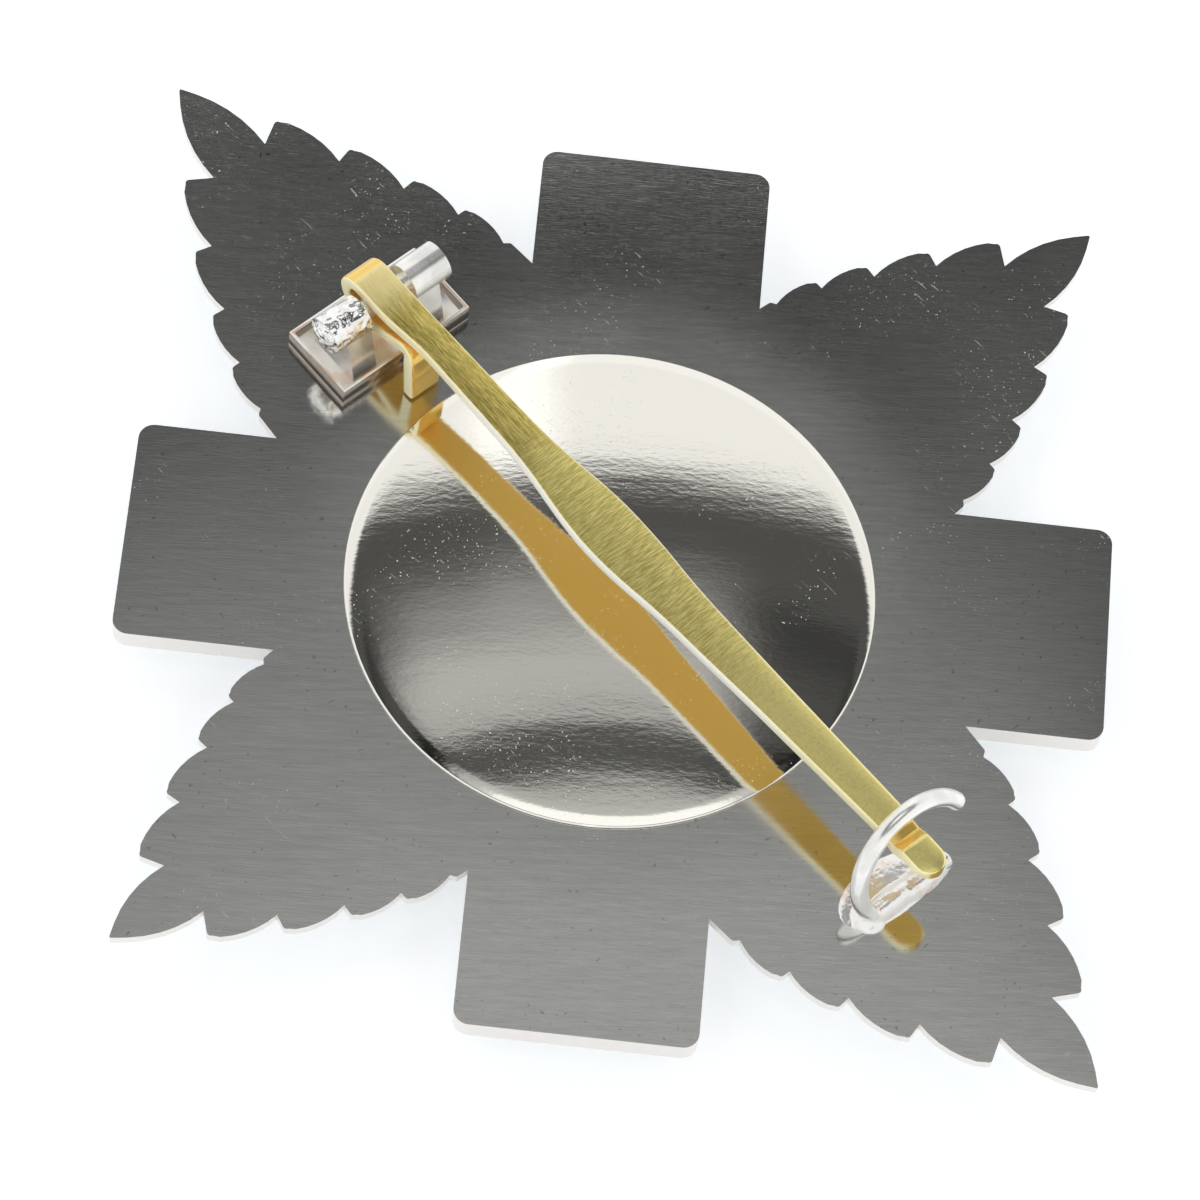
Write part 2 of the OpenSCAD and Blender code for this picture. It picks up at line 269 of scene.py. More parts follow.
def fillet(a, corner, b, radius, steps=4):
    """Points of a round corner of this radius between a and b."""
    to_a, to_b = (a - corner).normalized(), (b - corner).normalized()
    half = to_a.angle(to_b) / 2
    if radius <= 0 or half > math.radians(88):
        return [corner]
    reach = min(radius / math.tan(half), (a - corner).length * 0.49, (b - corner).length * 0.49)
    radius = reach * math.tan(half)
    centre = corner + (to_a + to_b).normalized() * (radius / math.sin(half))
    first, last = corner + to_a * reach - centre, corner + to_b * reach - centre
    turn = first.angle(last)
    return [
        centre + (first * math.sin(turn * (1 - i / steps)) + last * math.sin(turn * i / steps))
        / math.sin(turn)
        for i in range(steps + 1)
    ]


def rounded_path(corners, steps=6):
    """An open path in two dimensions through corners (a, b, radius)."""
    points = [Vector((a, b)) for a, b, r in corners]
    path = [points[0]]
    for i in range(1, len(corners) - 1):
        path += fillet(points[i - 1], points[i], points[i + 1], corners[i][2], steps)
    return path + [points[-1]]


def between(table, at, column):
    """A value read from a table's rows, in a straight line between two of them."""
    if at <= table[0][0]:
        return table[0][column]
    for low, high in zip(table, table[1:]):
        if at <= high[0]:
            share = (at - low[0]) / (high[0] - low[0])
            return low[column] + share * (high[column] - low[column])
    return table[-1][column]


def eased(table, at, column, reach=0.015):
    """The same, with the table's corners rounded."""
    shares = (-1, -0.5, 0, 0.5, 1)
    return sum(between(table, at + reach * share, column) for share in shares) / len(shares)


# Shader maths

class Wire:
    """A socket in a finish, with Python's operators for its maths."""

    def __init__(self, finish, socket):
        self.finish, self.socket = finish, socket

    def maths(self, operation, *values):
        """One maths node on these values."""
        return self.finish.node("ShaderNodeMath", {"operation": operation}, dict(enumerate(values)))

    def __add__(self, other):
        return self.maths("ADD", self, other)

    def __radd__(self, other):
        return self.maths("ADD", other, self)

    def __sub__(self, other):
        return self.maths("SUBTRACT", self, other)

    def __rsub__(self, other):
        return self.maths("SUBTRACT", other, self)

    def __mul__(self, other):
        return self.maths("MULTIPLY", self, other)

    def __rmul__(self, other):
        return self.maths("MULTIPLY", other, self)

    def __truediv__(self, other):
        return self.maths("DIVIDE", self, other)

    def clamped(self):
        """The same value, kept between 0 and 1."""
        return self.finish.node(
            "ShaderNodeMath", {"operation": "ADD", "use_clamp": True}, {0: self, 1: 0.0}
        )

    def over(self, low, high):
        """0 below low, 1 above high, smooth between them."""
        return self.finish.node(
            "ShaderNodeMapRange",
            {"interpolation_type": "SMOOTHSTEP"},
            {"Value": self, "From Min": low, "From Max": high},
        )


class NodeBench:
    """Adds nodes to a tree, for a finish or for the sky."""

    def __init__(self, tree):
        self.tree = tree
        tree.nodes.clear()

    def node(self, kind, settings=None, values=None, out=0):
        """A node with these settings and inputs; returns one of its outputs."""
        made = self.tree.nodes.new(kind)
        for key, value in (settings or {}).items():
            if key == "stops":
                ramp = made.color_ramp
                while len(ramp.elements) < len(value):
                    ramp.elements.new(0.5)
                for element, (at, colour) in zip(ramp.elements, value):
                    element.position = at
                    element.color = (*colour, 1)
            else:
                setattr(made, key, value)
        for key, value in (values or {}).items():
            if isinstance(value, Wire):
                self.tree.links.new(value.socket, made.inputs[key])
            else:
                made.inputs[key].default_value = value
        return Wire(self, made.outputs[out] if made.outputs else None)


class Finish(NodeBench):
    """A metal finish made of nodes."""

    def __init__(self, name):
        self.material = bpy.data.materials.new(name)
        self.material.use_nodes = True
        super().__init__(self.material.node_tree)

    def place(self, turn_deg=0.0, stretch=(1, 1, 1)):
        """Object coordinates in millimetres, turned about Z, then stretched."""
        coords = self.node("ShaderNodeTexCoord", out=3)
        turned_coords = self.node(
            "ShaderNodeMapping",
            {"vector_type": "TEXTURE"},
            {"Vector": coords, "Rotation": (0, 0, math.radians(turn_deg))},
        )
        return self.node(
            "ShaderNodeMapping",
            {"vector_type": "POINT"},
            {"Vector": turned_coords, "Scale": tuple(s / MM for s in stretch)},
        )

    def noise(self, where, scale=1.0, detail=2.0, rough=0.5):
        """Smooth noise, about 0 to 1, with about one patch to the millimetre at scale 1."""
        return self.node(
            "ShaderNodeTexNoise",
            {},
            {"Vector": where, "Scale": scale, "Detail": detail, "Roughness": rough},
        )

    def mix(self, share, first, second):
        """The first colour, with this share of the second."""
        return self.node(
            "ShaderNodeMix", {"data_type": "RGBA"}, {0: share, 6: first, 7: second}, out=2
        )

    def bump(self, height, strength, distance_mm, normal=None):
        """A normal bent by a height from 0 to 1 that stands for this distance."""
        values = {"Height": height, "Strength": strength, "Distance": distance_mm * MM}
        if normal is not None:
            values["Normal"] = normal
        return self.node("ShaderNodeBump", {}, values)

    def distance(self):
        """Distance from the star's axis in millimetres."""
        flat = self.place(0, (1, 1, 0))
        return self.node("ShaderNodeVectorMath", {"operation": "LENGTH"}, {0: flat}, out=1)

    def facing(self, axis, low, high, way=0):
        """1 on faces that look along this axis, 0 on those that look across it; with way 1 or -1
        only those that look that way."""
        own = self.node("ShaderNodeNewGeometry", out=1)
        part = self.node("ShaderNodeSeparateXYZ", {}, {"Vector": own}, out=axis)
        return (part * way if way else part.maths("ABSOLUTE", part)).over(low, high)

    def levelled(self, share):
        """The surface's own normal, turned towards straight up where it nearly is."""
        own = self.node("ShaderNodeNewGeometry", out=1)
        rise = self.node("ShaderNodeSeparateXYZ", {}, {"Vector": own}, out=2)
        blend = self.node("ShaderNodeMix", {"data_type": "VECTOR"},
                          {0: rise.over(0.93, 0.98) * share, 4: own, 5: (0, 0, 1)}, out=1)
        return self.node("ShaderNodeVectorMath", {"operation": "NORMALIZE"}, {0: blend})

    def metal(self, colour, roughness, normal=None, metallic=1.0):
        """Ends the finish as a metal and returns the material."""
        values = {"Base Color": colour, "Roughness": roughness, "Metallic": metallic}
        if normal is not None:
            values["Normal"] = normal
        shader = self.node("ShaderNodeBsdfPrincipled", {}, values)
        self.node("ShaderNodeOutputMaterial", {}, {"Surface": shader})
        return self.material


def rgb(r, g, b):
    """An opaque colour."""
    return (r, g, b, 1)


def ground_silver():
    """The back of the plate: silver ground flat, nearly a mirror under fine lines and dust."""
    f = Finish("ground_silver")
    lines = f.noise(f.place(-43, (0.6, 16, 1)), 1, 3, 0.6)
    wide_lines = f.noise(f.place(-40, (0.22, 2.6, 1)), 1, 4, 0.6)
    cloud = f.noise(f.place(0, (0.11, 0.11, 0.11)), 1, 2, 0.5)
    dusty = f.noise(f.place(0, (0.13, 0.16, 1)), 1, 2, 0.6).over(0.46, 0.66)
    specks = f.noise(f.place(0, (7, 7, 7)), 1, 0, 0.5).over(0.77, 0.81) * dusty
    scratches = f.noise(f.place(-86, (0.9, 8, 1)), 1, 0, 0.4).over(0.80, 0.83) * dusty
    marks = (0.45 * specks + 0.3 * scratches).clamped()
    pits = f.noise(f.place(0, (3.4, 3.4, 3.4)), 1, 0, 0.5).over(0.78, 0.82) * (1 - dusty)
    haze = 1 - f.distance().over(disc_d / 2, disc_d / 2 + 7)
    wall = 1 - f.facing(2, 0.3, 0.7)
    streaks = (0.4 * wide_lines + 0.6 * lines).over(0.25, 0.75)
    colour = f.mix(streaks, rgb(0.59, 0.60, 0.58), rgb(0.76, 0.76, 0.72))
    colour = f.mix(marks, colour, rgb(0.92, 0.91, 0.88))
    colour = f.mix(0.45 * pits, colour, rgb(0.22, 0.23, 0.23))
    # Painted reflection: the rounding of the worn edge is painted dark, a thin dark line that
    # stands for the dark light overhead it mirrors
    rim = 1 - f.facing(2, 0.80, 0.95)
    colour = f.mix(0.7 * rim, colour, rgb(0.22, 0.23, 0.23))
    # Painted highlight: the walls are painted paler than the back, standing for the bright low
    # light they catch
    colour = f.mix(wall, colour, rgb(0.84, 0.80, 0.765))
    rough = 0.05 + 0.05 * cloud + 0.07 * haze + 0.35 * marks + 0.2 * wall
    height = 0.7 * lines + 0.25 * wide_lines + 0.35 * marks
    return f.metal(colour, rough, f.bump(height, 0.65, 0.003, f.levelled(0.85)), 1 - 0.8 * marks)


def bright_silver():
    """Silver left as it was cut or drawn."""
    f = Finish("bright_silver")
    grain = f.noise(f.place(0, (0.45, 0.45, 0.45)), 1, 2, 0.6)
    dents = f.noise(f.place(0, (4, 4, 4)), 1, 2, 0.5)
    colour = f.mix(grain.over(0.35, 0.65), rgb(0.80, 0.80, 0.77), rgb(0.97, 0.96, 0.94))
    return f.metal(colour, 0.17 + 0.08 * grain, f.bump(dents, 0.25, 0.015), 0.75)


def crumpled_silver():
    """Silver that was hammered and filed at the hinge's peened end."""
    f = Finish("crumpled_silver")
    folds = f.noise(f.place(0, (1.3, 1.7, 1.7)), 1, 1, 0.5)
    pits = f.noise(f.place(0, (6, 6, 6)), 1, 1, 0.5)
    colour = f.mix(folds.over(0.4, 0.7), rgb(0.95, 0.95, 0.95), rgb(0.86, 0.82, 0.78))
    return f.metal(colour, 0.10 + 0.12 * pits, f.bump(folds + 0.08 * pits, 1.0, 0.25))


def sheet_silver():
    """Thin sheet with a pinkish cut edge; its side walls are painted dark brown as shade."""
    f = Finish("sheet_silver")
    grain = f.noise(f.place(0, (2, 2, 2)), 1, 3, 0.6)
    blush = f.noise(f.place(0, (0.8, 0.8, 0.8)), 1, 2, 0.5).over(0.45, 0.62)
    colour = f.mix(blush, rgb(0.97, 0.95, 0.90), rgb(0.95, 0.78, 0.67))
    wall = 1 - f.facing(2, 0.3, 0.7)
    # Painted shade: the side walls are painted dark brown, standing for the shade they show
    colour = f.mix(0.75 * wall, colour, rgb(0.30, 0.24, 0.20))
    return f.metal(colour, 0.13 + 0.12 * grain, f.bump(grain, 0.3, 0.01), 0.6 + 0.3 * wall)


def solder():
    """Solder that ran and froze: bright, with a rough pinkish skin."""
    f = Finish("solder")
    skin = f.noise(f.place(0, (1.6, 1.6, 1.6)), 1, 3, 0.6)
    pits = f.noise(f.place(0, (7, 7, 7)), 1, 2, 0.6)
    blush = f.noise(f.place(0, (0.9, 0.9, 0.9)), 1, 2, 0.5).over(0.54, 0.68)
    colour = f.mix(blush, rgb(0.94, 0.93, 0.91), rgb(0.90, 0.76, 0.68))
    return f.metal(colour, 0.10 + 0.12 * pits, f.bump(skin + 0.12 * pits, 0.6, 0.05), 0.6)


def mirror_silver():
    """The polished disc, with a wavy skin, a little dust and a few hairlines."""
    f = Finish("mirror_silver")
    waves = f.noise(f.place(-40, (0.09, 0.40, 1)), 1, 2, 0.5)
    peel = f.noise(f.place(-43, (1.6, 4, 1)), 1, 2, 0.55)
    dusty = f.noise(f.place(0, (0.12, 0.15, 1)), 1, 2, 0.6).over(0.44, 0.62)
    dust = f.noise(f.place(0, (7, 7, 7)), 1, 0, 0.5).over(0.77, 0.81) * dusty
    hairs = f.noise(f.place(-86, (0.8, 9, 1)), 1, 0, 0.4).over(0.79, 0.82) * dusty
    marks = (dust + 0.25 * hairs).clamped()
    colour = f.mix(marks, rgb(0.90, 0.882, 0.81), rgb(0.95, 0.94, 0.90))
    rough = 0.07 + 0.45 * marks
    height = 0.7 * waves + 0.2 * peel + 0.05 * marks
    return f.metal(colour, rough, f.bump(height, 1.0, 0.012), 1 - 0.7 * marks)


def gilt():
    """Gilt brass, brushed along the strip near the hinge and across it on the belly."""
    f = Finish("gilt")
    where = f.place(0, (1, 1, 1))
    along = f.noise(f.place(0, (12, 0.9, 0.9)), 1, 4, 0.85)
    across = f.noise(f.place(0, (1.0, 13, 1.0)), 1, 4, 0.85)
    mottled = 0.47 + 0.3 * f.noise(f.place(0, (6, 6, 6)), 1, 2, 0.6)
    run = f.node("ShaderNodeSeparateXYZ", {}, {"Vector": where}, out=1)
    height = f.node("ShaderNodeSeparateXYZ", {}, {"Vector": where}, out=2)
    lengthwise = run.over(6, 11)
    side = f.facing(0, 0.40, 0.75)
    under = f.facing(2, 0.3, 0.7, -1)
    brushed = height.over(back_z + pin_top_h - 0.12, back_z + pin_top_h - 0.02)
    belly = (1 - lengthwise) * run.over(-16, -7)
    smooth = (1 - run.over(-16, -7)) * mottled
    grain = lengthwise * along + belly * across + smooth
    dark = f.mix(lengthwise, rgb(0.44, 0.36, 0.09), rgb(0.34, 0.27, 0.05))
    light = f.mix(lengthwise, rgb(1.0, 0.87, 0.34), rgb(0.98, 0.80, 0.26))
    lines = f.mix(grain.over(0.33, 0.67), dark, light)
    # Painted highlight: the top near the bend is painted a light cream gold, standing for the
    # bright glint there; it is also made rougher
    bend_highlight = run.over(20.2, 23.2)
    lines = f.mix(0.8 * bend_highlight, lines, rgb(1.0, 0.87, 0.44))
    colour = f.mix(brushed, rgb(1.0, 0.68, 0.18), lines)
    # Painted highlight: the strip's sides are painted cream, palest along its middle, standing for
    # the light its edges catch
    pale = run.over(-20, -12) * (1 - run.over(10, 18))
    colour = f.mix(side, colour, f.mix(pale, rgb(1.0, 0.92, 0.58), rgb(1.0, 0.98, 0.88)))
    rough = 0.14 + 0.45 * under + (0.12 + 0.15 * bend_highlight) * brushed + 0.06 * brushed * grain
    rough = rough + 0.2 * side
    return f.metal(colour, rough, f.bump(grain * brushed, 0.6, 0.02),
                   1 - 0.35 * side - 0.45 * (1 - brushed))


# Plate

def leaf_outline(reach, half_w):
    """Right side of a leaf along +Y from root to tip, then its mirrored left side."""
    root = Vector((LEAF_ROOT[1] * half_w, LEAF_ROOT[0] * reach))
    side = [Vector(leaf_start), root]
    corners = [Vector((0, reach))]
    for notch_u, notch_v, tooth_u, tooth_v in TEETH:
        corners.append(Vector((notch_v * half_w, notch_u * reach)))
        corners.append(Vector((tooth_v * half_w, tooth_u * reach)))
    corners.append(root)
    corners.reverse()
    for i in range(1, len(corners) - 1):
        if i % 2:
            side += fillet(corners[i - 1], corners[i], corners[i + 1], tooth_r, 3)
        else:
            side.append(corners[i])
            side += lobe(corners[i], corners[i + 1])
    side.append(Vector((tip_wide, reach - tip_blunt)))
    side.append(Vector((tip_wide / 2, reach)))
    return side + [Vector((-p.x, p.y)) for p in reversed(side)]


def lobe(a, b, steps=6):
    """Points of a round edge that bulges to the right of the way from a to b."""
    chord, height = (b - a).length, lobe_bulge * (b - a).length
    along = (b - a).normalized()
    out = Vector((along.y, -along.x))
    radius = (chord ** 2 / 4 + height ** 2) / (2 * height)
    half = math.asin(chord / 2 / radius)
    centre = (a + b) / 2 - out * (radius - height)
    turns = [half * (2 * i / steps - 1) for i in range(1, steps)]
    return [centre + radius * (out * math.cos(t) + along * math.sin(t)) for t in turns]


def leaf(name, reach, width, turn_deg):
    """One flat toothed leaf, turned to its place."""
    piece = slab(name, leaf_outline(reach, width / 2), leaf_t)
    turned(piece, turn_deg)
    return piece


def arm_bar(name, turn_deg):
    """Two opposite arms as one bar with round corners."""
    half_l, half_w, r = arm_l / 2, arm_w / 2, arm_corner_r
    outline = []
    for sx, sy, start in ((1, 1, 0), (-1, 1, 90), (-1, -1, 180), (1, -1, 270)):
        for i in range(11):
            angle = math.radians(start + 90 * i / 10)
            x = sx * (half_l - r) + r * math.cos(angle)
            outline.append((x, sy * (half_w - r) + r * math.sin(angle)))
    piece = slab(name, outline, arm_t)
    turned(piece, turn_deg)
    return piece


def curl(piece, reach, rise, turn_deg, cuts=14):
    """Curls one leaf up towards its tip, as a square of the distance past curl_start."""
    turn = Matrix.Rotation(math.radians(turn_deg), 3, "Z")
    ahead = turn @ Vector((0, 1, 0))
    edit(piece)
    for i in range(cuts):
        bpy.ops.mesh.select_all(action="SELECT")
        place = ahead * (curl_start + (reach - curl_start) * i / cuts)
        bpy.ops.mesh.bisect(plane_co=place, plane_no=ahead)
    done()
    for vertex in piece.data.vertices:
        local = turn.transposed() @ vertex.co
        if local.y > curl_start and local.y - abs(local.x) > leaf_sector:
            vertex.co.z += rise * ((local.y - curl_start) / (reach - curl_start)) ** 2


def plate():
    """Arms and leaves as one casting, its edge worn round and its leaves curled up."""
    whole = arm_bar("plate", 45)
    parts = [arm_bar("second_bar", 135)]
    for turn in (0, 180):
        parts.append(leaf("long_leaf", long_leaf_l, long_leaf_w, turn))
    for turn in (90, 270):
        parts.append(leaf("short_leaf", short_leaf_l, short_leaf_w, turn))
    for part in parts:
        modify(whole, "BOOLEAN", object=part, operation="UNION", solver="EXACT")
        bpy.data.objects.remove(part)
    tidy_faces(whole)
    round_rims(whole, worn_edge_r)
    for turn in (0, 180):
        curl(whole, long_leaf_l, long_leaf_rise, turn)
    for turn in (90, 270):
        curl(whole, short_leaf_l, short_leaf_rise, turn)
    settle(whole, "star", ground_silver(), ["star_plate"], smooth_deg=12)


def front_boss():
    """The plain round boss on which the star lies."""
    bpy.ops.mesh.primitive_cylinder_add(
        vertices=96, radius=boss_d / 2, depth=boss_h, location=(0, 0, -arm_t - boss_h / 2)
    )
    piece = bpy.context.object
    piece.name = "front_boss"
    mesh = edit(piece)
    bpy.ops.mesh.select_all(action="DESELECT")
    for face in mesh.faces:
        face.select = face.normal.z < -0.9
    bmesh.update_edit_mesh(piece.data)
    bpy.ops.mesh.bevel(offset=boss_edge_r, segments=3, affect="EDGES")
    done()
    settle(piece, "star", bright_silver())


def centre_disc():
    """The domed disc, with a rounded lip."""
    half = disc_d / 2
    profile = [(0, disc_gap), (half - 0.02, disc_gap), (half, disc_gap + 0.02)]
    for i in range(7):
        angle = math.radians(13 * i)
        profile.append((half - disc_lip * (1 - math.cos(angle)),
                        disc_rim_h - disc_lip * (1 - math.sin(angle))))
    for i in range(1, disc_steps + 1):
        share = (1 - disc_lip / half) * (1 - i / disc_steps)
        profile.append((half * share, disc_crown_h - (disc_crown_h - disc_rim_h) * share ** 2))
    piece = spun("centre_disc_dome", profile, 128)
    for vertex in piece.data.vertices:
        vertex.co.x += disc_x
    settle(piece, "star", mirror_silver(), ["centre_disc"])


def spun(name, profile, steps):
    """A round solid spun about Z from a profile of (radius, height)."""
    bpy.ops.mesh.primitive_circle_add(vertices=len(profile), fill_type="NOTHING")
    piece = bpy.context.object
    piece.name = name
    for vertex, (r, z) in zip(piece.data.vertices, profile):
        vertex.co = (r, 0, z)
    edit(piece)
    bpy.ops.mesh.select_all(action="SELECT")
    bpy.ops.mesh.spin(steps=steps, angle=math.tau, center=(0, 0, 0), axis=(0, 0, 1))
    done()
    tidy_faces(piece)
    return piece


# Hinge

def along_x(name, outline, x0, x1, edge):
    """A solid between x0 and x1 with this outline in Y and Z, its end rims rounded."""
    piece = slab(name, outline, x1 - x0)
    round_rims(piece, edge)
    turn = Matrix(((0, 0, 1, x1), (1, 0, 0, 0), (0, 1, 0, 0), (0, 0, 0, 1)))
    piece.data.transform(turn)
    return piece


def cheeks():
    """Two knuckle tubes, each on a cheek that is a little shorter than its tube."""
    silver, worn = bright_silver(), crumpled_silver()
    r = knuckle_d / 2
    foot = cheek_foot_w / 2
    right_end_x = gap_right_x + right_knuckle_l
    side = [(hinge_y - foot, cheek_foot_h), (hinge_y + foot, cheek_foot_h),
            (hinge_y + r * 0.9, hinge_h), (hinge_y - r * 0.9, hinge_h)]
    tube = [(hinge_y + r * math.cos(math.tau * i / 40), hinge_h + r * math.sin(math.tau * i / 40))
            for i in range(40)]
    pieces = [
        ("left_knuckle", tube, knuckle_left_x, gap_left_x, worn),
        ("left_cheek", side, knuckle_left_x + left_step, gap_left_x - cheek_inset, silver),
        ("right_knuckle", tube, gap_right_x, right_end_x - right_short, silver),
        ("right_cheek", side, gap_right_x + cheek_inset, right_end_x - right_step, silver),
    ]
    for name, outline, x0, x1, finish in pieces:
        piece = along_x(name, outline, x0, x1, tube_edge_r)
        tidy_faces(piece)
        settle(piece, "star", finish, smooth_deg=30)


def tray():
    """The shallow tray of thin sheet under the hinge."""
    bpy.ops.mesh.primitive_cube_add(size=1, location=(
        tray_left_x + tray_l / 2, tray_back_y - tray_w / 2, (tray_h - tray_sunk) / 2))
    piece = bpy.context.object
    piece.name = "hinge_tray"
    piece.scale = (tray_l, tray_w, tray_h + tray_sunk)
    bpy.ops.object.transform_apply()
    mesh = edit(piece)
    bpy.ops.mesh.select_all(action="DESELECT")
    for face in mesh.faces:
        face.select = face.normal.z > 0.9
    bmesh.update_edit_mesh(piece.data)
    bpy.ops.mesh.inset(thickness=tray_wall, depth=0)
    bpy.ops.mesh.extrude_region_move(
        TRANSFORM_OT_translate={"value": (0, 0, tray_t - tray_h)}
    )
    done()
    modify(piece, "BEVEL", width=tray_edge_r, segments=2, limit_method="ANGLE")
    settle(piece, "star", sheet_silver())


def rivet():
    """The rivet through both knuckles, with its peened head."""
    r = rivet_d / 2
    length = right_knuckle_l + knuckle_gap + left_knuckle_l
    bpy.ops.mesh.primitive_cylinder_add(
        vertices=32, radius=r, depth=length,
        location=(knuckle_left_x + length / 2, hinge_y, hinge_h), rotation=(0, math.pi / 2, 0))
    piece = bpy.context.object
    piece.name = "rivet_shank"
    settle(piece, "star", bright_silver(), ["hinge_rivet"])
    bpy.ops.mesh.primitive_ico_sphere_add(
        subdivisions=4, radius=1, location=(knuckle_left_x, hinge_y, hinge_h))
    head = bpy.context.object
    head.name = "peened_head"
    head.scale = head_size
    bpy.ops.object.transform_apply()
    edit(head)
    bpy.ops.mesh.select_all(action="SELECT")
    bpy.ops.transform.vertex_random(offset=head_bumps, seed=5)
    done()
    settle(head, "star", crumpled_silver())


# Catch

def catch_point(x, s):
    """A point of the catch's leaning plane."""
    lean = math.radians(catch_lean)
    return Vector((x, -catch_y + s * math.sin(lean), foot_h + s * math.cos(lean)))


def catch_wire():
    """The wire of the catch: an open C, an elbow and a straight foot."""
    # Where the C ends and the elbow takes over
    bend_angle = 180 + math.degrees(math.asin((catch_rise - elbow_r) / (catch_r - elbow_r)))
    elbow_x = catch_x + (catch_r - elbow_r) * math.cos(math.radians(bend_angle))
    path = []
    steps = 56
    for i in range(steps + 1):
        angle = math.radians(catch_open_angle + (bend_angle - catch_open_angle) * i / steps)
        path.append((catch_x + catch_r * math.cos(angle), catch_rise + catch_r * math.sin(angle)))
    for i in range(1, 9):
        angle = math.radians(bend_angle + (270 - bend_angle) * i / 8)
        path.append((elbow_x + elbow_r * math.cos(angle), elbow_r + elbow_r * math.sin(angle)))
    path.append(((elbow_x + foot_end_x) / 2, 0))
    path.append((foot_end_x, 0))
    piece = drawn("catch_wire", round_rings([catch_point(x, s) for x, s in path], wire_d / 2))
    settle(piece, "star", bright_silver(), smooth_deg=50)


def round_rings(path, radius, sides=20, cap=5):
    """Rings round a path, closing in at both ends as a worn wire's end does."""
    rings = []
    last = len(path) - 1
    shrink = [math.cos(math.radians(90 * k / cap)) ** 0.5 for k in range(cap)]
    reach = [radius * worn_end * math.sin(math.radians(90 * k / cap)) for k in range(cap)]
    side_way = (path[1] - path[0]).cross(path[3] - path[0]).normalized()

    def ring(centre, tangent, r):
        up = side_way.cross(tangent).normalized()
        return [
            centre + r * (side_way * math.cos(math.tau * k / sides)
                          + up * math.sin(math.tau * k / sides))
            for k in range(sides)
        ]

    for i, centre in enumerate(path):
        tangent = (path[min(i + 1, last)] - path[max(i - 1, 0)]).normalized()
        if i == 0:
            for k in reversed(range(1, cap)):
                rings.append(ring(centre - tangent * reach[k], tangent, radius * shrink[k]))
        rings.append(ring(centre, tangent, radius))
        if i == last:
            for k in range(1, cap):
                rings.append(ring(centre + tangent * reach[k], tangent, radius * shrink[k]))
    return rings


def solder_pad():
    """The low pool of solder round the foot of the catch."""
    parts = []
    for x, y, wide, deep, high in SOLDER_BLOBS:
        bpy.ops.mesh.primitive_uv_sphere_add(
            segments=32, ring_count=16, radius=1, location=(x, y - catch_y, 0.02))
        part = bpy.context.object
        part.scale = (wide, deep, high)
        parts.append(part)
    for part in parts:
        part.select_set(True)
    bpy.context.view_layer.objects.active = parts[0]
    bpy.ops.object.join()
    piece = bpy.context.object
    piece.name = "catch_solder"
    bpy.ops.object.transform_apply()
    modify(piece, "REMESH", mode="VOXEL", voxel_size=solder_mesh)
    modify(piece, "SMOOTH", iterations=4, factor=0.5)
    edit(piece)
    bpy.ops.mesh.select_all(action="SELECT")
    bpy.ops.transform.vertex_random(offset=solder_bumps, seed=2)
    done()
    modify(piece, "SMOOTH", iterations=1, factor=0.5)
    settle(piece, "star", solder(), smooth_deg=60)


# Pin

def pin_path():
    """Middle line of the strip in Y and Z, from the tail's foot to the free end."""
    strip_z = pin_top_h - pin_t / 2
    leg_z = hinge_h - rivet_d / 2 - rivet_clear - tail_t / 2
    bend_mid = pin_top_h - hinge_h - pin_t / 2
    far_y = hinge_y + bend_past + bend_mid
    foot_y = hinge_y - tail_reach
    groove_y = -catch_y + groove_in
    return rounded_path([
        (foot_y, tail_gap, 0),
        (foot_y + knee_in, pin_top_h - pin_t - knee_drop, 0.6),
        (hinge_y - leg_past, leg_z, 1.5),
        (far_y, leg_z, (strip_z - leg_z) / 2),
        (far_y, strip_z, (strip_z - leg_z) / 2),
        (groove_y + groove_slope, strip_z, 0.5),
        (groove_y, strip_z - groove_d, 0.3),
        (groove_y - groove_short, strip_z, 0.4),
        (-pin_end, strip_z, 0),
    ], steps=8)


def strip_width(y, travelled):
    """(middle, width) of the strip at this Y; travelled is below 0.5 on the tail, then 1."""
    span = hinge_y + pin_end
    at = (hinge_y - y) / span
    width = eased(PIN_PLAN, at, 1) * pin_belly_w
    middle = pin_x + pin_drift * eased(PIN_PLAN, at, 2)
    if travelled < 0.5:
        share = min(1, max(0, (travelled - widen_from) / widen_over))
        return tail_x + (loop_x - tail_x) * share, tail_w + (loop_w - tail_w) * share
    round_r = width / 2
    past = (-pin_end + round_r) - y
    if past > 0:
        width = 2 * math.sqrt(max(round_r ** 2 - past ** 2, 0.01))
    if y > waist_y:
        share = min(1, (y - waist_y) / waist_l)
        share = share * share * (3 - 2 * share)
        width += (loop_w - width) * share
        middle += (loop_x - middle) * share
    return middle, width


def rolled_section(half_w, half_t, steps=4):
    """Section of the strip, its four edges rounded as rolling leaves them."""
    r = min(edge_r, half_w * 0.9, half_t * 0.9)
    section = []
    for side, face, start in ((1, -1, -90), (1, 1, 0), (-1, 1, 90), (-1, -1, 180)):
        for i in range(steps + 1):
            angle = math.radians(start + 90 * i / steps)
            section.append((side * (half_w - r) + r * math.cos(angle),
                            face * (half_t - r) + r * math.sin(angle)))
    return section


